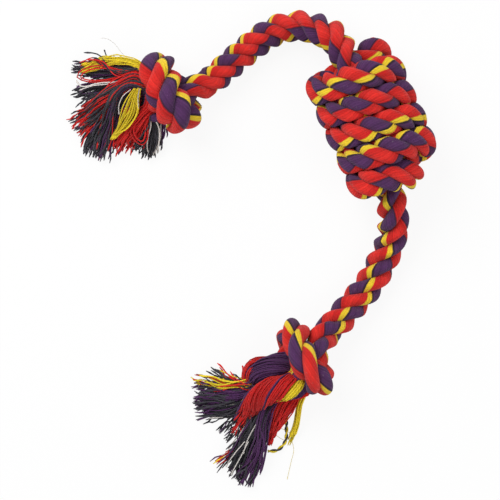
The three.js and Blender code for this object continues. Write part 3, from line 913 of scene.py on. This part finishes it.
upper.add_single("red", [
    (-122, 3, 18), (-127.8, -2.2, 16), (-130.2, -7.6, 14.5), (-128.6, -11.6, 12.5), (-125.6, -13.6, 11.5),
    (-124, -10.6, 12), (-123.6, -5, 14.5), (-123, 1, 16),
])
upper.add_single("pale", [
    (-121.5, 3, 13.5), (-118.7, -1.1, 16), (-116.4, -5.8, 13), (-116.2, -12.1, 9), (-117.3, -18, 5),
])
upper.add_single("pale", [
    (-122, 3, 13), (-120.6, -4, 14.5), (-122.4, -11, 10), (-123, -17, 6), (-121.6, -21, 3),
])
upper.add_lock([("purple", 5), ("charcoal", 5)], 44, fray=1.4, route=[
    (-123.5, 9.5, 13, 7, 5), (-127, 2, 10.5, 9, 5), (-130, -7, 6, 9, 4), (-132.5, -14.5, 3, 9, 3),
])
upper.add_single("charcoal", [
    (-137.6, 28.4, 14), (-142.6, 30.4, 14), (-144.7, 32.7, 12.5), (-146.6, 37.3, 10),
], radius=0.35)
upper.add_single("pale", [
    (-129.7, 28, 17), (-136.8, 35.4, 13), (-140.7, 40.4, 10), (-144.7, 43.4, 7), (-149.2, 44.2, 5),
], radius=0.12)
upper.add_single("yellow", [
    (-133, 29, 17), (-136.4, 32.5, 16), (-139.2, 34.4, 14), (-141.1, 33.4, 13), (-140, 31.2, 13),
], radius=0.25)
upper_nodes = {
    "red": ("upper_lock_red_left", "upper_lock_red_low"),
    "purple": ("upper_neck",),
    "yellow": ("upper_lock_yellow_top", "upper_lock_yellow_front"),
    "charcoal": ("upper_lock_black_left", "upper_lock_black_low", "upper_lock_black_right"),
}
finish_tassel("upper", upper, upper_nodes)

# The lower tassel: a purple and a red strand, still half laid, come out of the knot and cross each
# other, then fall open into locks of charcoal, purple and red yarns.
lower = Tassel((-41, -130.6, 15.7, 8, 9))
# A purple strand, still half laid, a red one under it and a yellow lock at the knot
lower.add_lock([("purple", 1)], 170, fray=1.3, turns=0.45, mixed=0.3, route=[
    (-43.2, -133.8, 18.5, 11, 10), (-50.5, -135.7, 20, 12, 11), (-57, -138, 19, 12, 11),
    (-62.4, -141.9, 16, 11, 9), (-65.4, -147, 12, 10, 7), (-72, -151, 9, 11, 6), (-81, -152.6, 6, 12, 5),
    (-89.5, -153.6, 3.5, 15, 4), (-93, -154.2, 2.5, 16, 3),
])
lower.add_lock([("red", 1)], 76, fray=0.4, turns=0.3, route=[
    (-51, -136, 13, 8, 6), (-58.5, -136, 14, 8, 7), (-63.5, -137, 15, 8, 8), (-66.4, -141, 14.5, 8, 8),
    (-66, -146, 12, 8, 7), (-62.5, -150.5, 9, 7, 6),
])
lower.add_lock([("yellow", 1)], 22, fray=0.3, route=[
    (-36.5, -137.2, 22, 5, 3), (-40.6, -138.6, 24, 5, 3), (-44, -140.6, 21, 4, 3), (-46, -144, 15, 4, 3),
])
# The red strand that winds across them, with its purple and yellow bands
lower.add_lock([("red", 1.6), ("purple", 12.7), ("yellow", 20.5), ("red", 23.4), ("purple", 1.6),
                ("red", 40.2)], 250, fray=0.6, turns=-1.64, mixed=0.01, route=[
    (-34.5, -140, 20, 10, 8), (-35.5, -146, 24, 13, 9), (-40, -147.6, 25.5, 14, 10),
    (-46.8, -148.2, 25.5, 14.5, 10), (-56, -150.8, 23.5, 13.5, 10), (-62.4, -155.2, 18.5, 12.5, 9),
    (-66.8, -160.8, 11.5, 11, 7), (-69.8, -165.2, 6.5, 10, 5),
])
# The left: dark ends, and strays in yellow, red and charcoal above them
lower.add_lock([("charcoal", 8.2), ("purple", 1.4), ("pale", 0.4)], 120, fray=1.8, route=[
    (-61.5, -152.2, 9.5, 8, 6), (-68.8, -155.8, 7, 10, 6), (-78, -159, 5, 13, 5),
    (-86.5, -159.6, 3.5, 15, 4), (-92.5, -160.6, 2.5, 17, 3),
])
lower.add_lock([("charcoal", 7), ("purple", 3)], 56, fray=1.8, route=[
    (-64, -149.5, 9.5, 8, 6), (-76, -153, 6.5, 10, 5), (-85, -152.8, 7.5, 13, 4),
    (-92.5, -152.3, 6, 15, 3),
])
lower.add_lock([("yellow", 8), ("red", 2)], 16, fray=1.8, route=[
    (-64, -146, 14.5, 5, 4), (-73, -147.4, 13, 4, 3), (-83, -148.3, 9, 5, 3), (-90.5, -145.6, 6, 6, 3),
    (-95.5, -144, 4, 7, 3),
])
lower.add_lock([("red", 6), ("charcoal", 4)], 20, fray=2.0, route=[
    (-65, -146.4, 14, 5, 4), (-71.5, -145.6, 13, 5, 3), (-78, -144, 9, 6, 3), (-83, -142, 6, 8, 3),
])
lower.add_lock([("charcoal", 8), ("yellow", 2)], 14, fray=1.8, route=[
    (-67, -147, 13, 5, 3), (-76, -146, 11, 5, 3), (-83.5, -143.4, 7, 6, 3), (-88, -140.6, 5, 8, 3),
])
lower.add_single("red", [(-66, -146, 14), (-69.4, -143, 14), (-70.2, -137, 11)])
# The low locks: a red one, and a long one of charcoal and purple with white yarns
lower.add_lock([("red", 1)], 120, fray=0.9, route=[
    (-44, -152.5, 16, 10, 6), (-48, -158.5, 15, 13, 6), (-50.7, -165.5, 11, 10.5, 5),
    (-53, -172.4, 6.5, 6.5, 4), (-55, -178, 3, 4, 3),
])
lower.add_lock([("charcoal", 8.6), ("purple", 0.9), ("pale", 0.5)], 150, fray=2.0, route=[
    (-50, -153, 14, 6, 5), (-56.5, -159.6, 12, 7, 6), (-60.5, -166.5, 9.5, 8, 7), (-64, -174, 7.5, 9, 7),
    (-68.4, -183, 5.5, 13, 6), (-72.6, -191.5, 3.5, 17, 4), (-74.6, -195.5, 2.5, 20, 3),
])
lower.add_lock([("purple", 6.5), ("charcoal", 3.5)], 84, fray=2.0, route=[
    (-50, -153.5, 15, 5, 5), (-56, -160, 14.5, 5, 5), (-58.7, -168, 12, 5.5, 6),
    (-60, -177.5, 10, 6.5, 6), (-63, -187, 7, 8, 5), (-66.2, -194, 4, 10, 4), (-68.2, -198.4, 2.5, 11, 3),
])
lower.add_single("pale", [
    (-62.6, -169, 13), (-66.5, -176, 12), (-68.5, -181, 10.5), (-69.8, -186, 9),
], radius=0.3)
lower.add_single("pale", [
    (-69, -179, 10.5), (-74.8, -186, 9), (-77.5, -190, 7.5), (-79.4, -193.5, 6),
], radius=0.3)
lower.add_single("pale", [
    (-67, -179, 11), (-71.5, -188, 9), (-74.5, -193.5, 7.5), (-76.6, -198, 6),
], radius=0.3)
# Strays between the locks
lower.add_lock([("red", 7.5), ("yellow", 1), ("pale", 1.5)], 16, fray=1.3, route=[
    (-56, -160, 9, 4, 4), (-62, -172, 6, 4, 4), (-68, -181, 5, 5, 3), (-75.3, -187, 4, 5, 3),
    (-81, -191.4, 3, 7, 3),
])
lower.add_lock([("charcoal", 8.5), ("purple", 1.5)], 26, fray=2.6, route=[
    (-62, -154, 10, 6, 4), (-68, -160, 8, 7, 4), (-74.5, -167, 5, 8, 3), (-80.5, -172.5, 3, 11, 3),
])
lower.add_lock([("charcoal", 6), ("red", 4)], 22, fray=2.4, route=[
    (-61, -155, 10, 6, 4), (-67, -163, 8, 7, 4), (-72, -170, 5, 8, 3), (-75.5, -177, 3, 9, 3),
])
lower.add_lock([("red", 8), ("charcoal", 2)], 16, fray=2.2, route=[
    (-60, -156, 11, 5, 4), (-66, -163, 9, 6, 4), (-70, -170, 5, 6, 3), (-73, -177.5, 3, 7, 3),
])
# The thin yellow lock and three loose threads
lower.add_lock([("yellow", 1)], 18, fray=0.6, route=[
    (-36.6, -152.5, 15, 3, 3), (-38.7, -158.5, 12.5, 3, 2.5), (-39.6, -167, 7.5, 3, 2.5),
    (-41.4, -175, 4, 3, 2), (-43.4, -179, 2.5, 3, 2),
])
lower.add_single("yellow", [
    (-43, -178.4, 3), (-41.8, -184.3, 2), (-43.2, -190.7, 1), (-45.5, -201, 0.6),
], radius=0.12)
lower.add_single("yellow", [
    (-41.6, -177, 3), (-46, -173.5, 4), (-51, -172, 6), (-54, -175.5, 4),
], radius=0.12)
lower.add_single("yellow", [
    (-42, -178, 3), (-47.5, -178.6, 3), (-52.5, -176, 4), (-56, -180, 2),
], radius=0.12)
lower_nodes = {
    "red": ("lower_lock_red_front", "lower_lock_red_low"),
    "purple": ("lower_neck", "lower_lock_purple_left"),
    "yellow": ("lower_lock_yellow_thin",),
    "charcoal": ("lower_lock_charcoal_long",),
}
finish_tassel("lower", lower, lower_nodes)

# A thin cord of one charcoal and one yellow yarn, twisted together. It hangs out of the lower tassel, lies
# on the table and ends in a hook.
CORD = 2.2 * MM
CORD_LAY = 9 * MM
CORD_PLIES = 2
CORD_RINGS = 121
CORD_SIDES = 8
CORD_STEPS = 16
CORD_SHADE = 0.5
ALONG_NO_CORD = (0.2, 0.9, 0.4)
CORD_ROUTE = [
    (-55.12, -143.07, 17), (-54.34, -145.01, 17.5), (-49.24, -150.82, 15.5), (-46.54, -159.32, 8.1),
    (-45.94, -170.82, 2.3), (-46.44, -179.32, 2.1), (-50.74, -184.32, 2.1), (-56.24, -185.02, 2.1),
]
cord_line = smooth_line(np.array(CORD_ROUTE) * MM, CORD_STEPS)
cord_length = distances(cord_line)[-1]
cord_along = np.linspace(0, cord_length, CORD_RINGS)
cord_path = at_distances(cord_line, cord_along)
cord_ahead = np.gradient(cord_path, axis=0)
cord_ahead /= np.linalg.norm(cord_ahead, axis=1)[:, None]
cord_side = np.cross(cord_ahead, ALONG_NO_CORD)
cord_side /= np.linalg.norm(cord_side, axis=1)[:, None]
cord_over = np.cross(cord_ahead, cord_side)
round_ply = 2 * math.pi * np.arange(CORD_SIDES) / CORD_SIDES
spots, faces = [], []
for ply in range(CORD_PLIES):
    lay = 2 * math.pi * cord_along[:, None] / CORD_LAY + math.pi * ply
    out_side = CORD / 4 * (np.cos(lay) + np.cos(round_ply))
    out_over = CORD / 4 * (np.sin(lay) + np.sin(round_ply))
    ply_rings = cord_path[:, None] + out_side[..., None] * cord_side[:, None]
    ply_rings = ply_rings + out_over[..., None] * cord_over[:, None]
    walls, start, finish = tube_faces(ply * CORD_RINGS * CORD_SIDES, CORD_RINGS, CORD_SIDES)
    spots.append(ply_rings.reshape(-1, 3))
    faces += walls + [start, finish]
ply_turn = np.tile(np.arange(CORD_SIDES) / CORD_SIDES, CORD_RINGS)
ply_along = np.repeat(cord_along / MM, CORD_SIDES)
cord_uv = np.tile(np.stack([ply_turn, ply_along], -1), (CORD_PLIES, 1))
cord = add_mesh("lower_twisted_cord", np.vstack(spots), faces, yarn_colours["charcoal"], cord_uv)
cord.data.materials.append(yarn_colours["yellow"])
for face in list(cord.data.polygons)[len(faces) // CORD_PLIES:]:
    face.material_index = 1
cord_shade = cord.data.attributes.new("yarn_shade", "FLOAT", "POINT")
cord_shade.data.foreach_set("value", np.full(len(cord.data.vertices), CORD_SHADE, np.float32))
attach(cord, "lower_tassel")
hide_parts("lower_twisted_yarn")

# The table: a plain white sheet on which the toy lies. It is seen almost pure white, and it keeps the toy's
# soft shadow.
TABLE_SIZE = 8
PAPER = (0.9, 0.9, 0.9, 1)
WHITE = (1, 1, 1, 1)
GLOW_SHARE = 0.9
bpy.ops.mesh.primitive_plane_add(size=TABLE_SIZE, location=(0, 0, 0))
table = bpy.context.object
table.name = "white_table"
table_look = new_look("white_table")
rays = table_look.node("ShaderNodeLightPath").socket.node.outputs
seen = Look(table_look.material, rays["Is Camera Ray"])
for ray in ("Is Glossy Ray", "Is Transmission Ray"):
    seen = table_look.maths("MAXIMUM", seen, Look(table_look.material, rays[ray]))
paper = table_look.node("ShaderNodeBsdfDiffuse", Color=PAPER)
glow = table_look.node("ShaderNodeEmission", Color=WHITE, Strength=1.0)
shown = table_look.node("ShaderNodeMixShader", in_0=seen * GLOW_SHARE, in_1=paper, in_2=glow)
table_look.node("ShaderNodeOutputMaterial", Surface=shown)
table.data.materials.append(table_look.material)

# Soft studio light: a broad lamp above and to the upper left, a weaker one above and to the lower right,
# and a pale room all round.
ROOM_LIGHT = 0.45


def add_lamp(name, place, aim, size, power):
    """A square lamp that faces a point."""
    bpy.ops.object.light_add(type="AREA", location=place)
    lamp = bpy.context.object
    lamp.name = name
    lamp.data.size = size
    lamp.data.energy = power
    lamp.rotation_mode = "QUATERNION"
    lamp.rotation_quaternion = (Vector(aim) - Vector(place)).to_track_quat("-Z", "Y")


add_lamp("key_lamp", (-0.7, 0.6, 1.1), (*PHOTO_MIDDLE, 0), 0.9, 14)
add_lamp("fill_lamp", (0.9, -0.5, 1.2), (*PHOTO_MIDDLE, 0), 1.2, 7)
world = bpy.data.worlds.new("pale_room")
bpy.context.scene.world = world
world.use_nodes = True
room = world.node_tree.nodes["Background"]
room.inputs["Color"].default_value = WHITE
room.inputs["Strength"].default_value = ROOM_LIGHT
bpy.context.scene.view_settings.view_transform = "Standard"
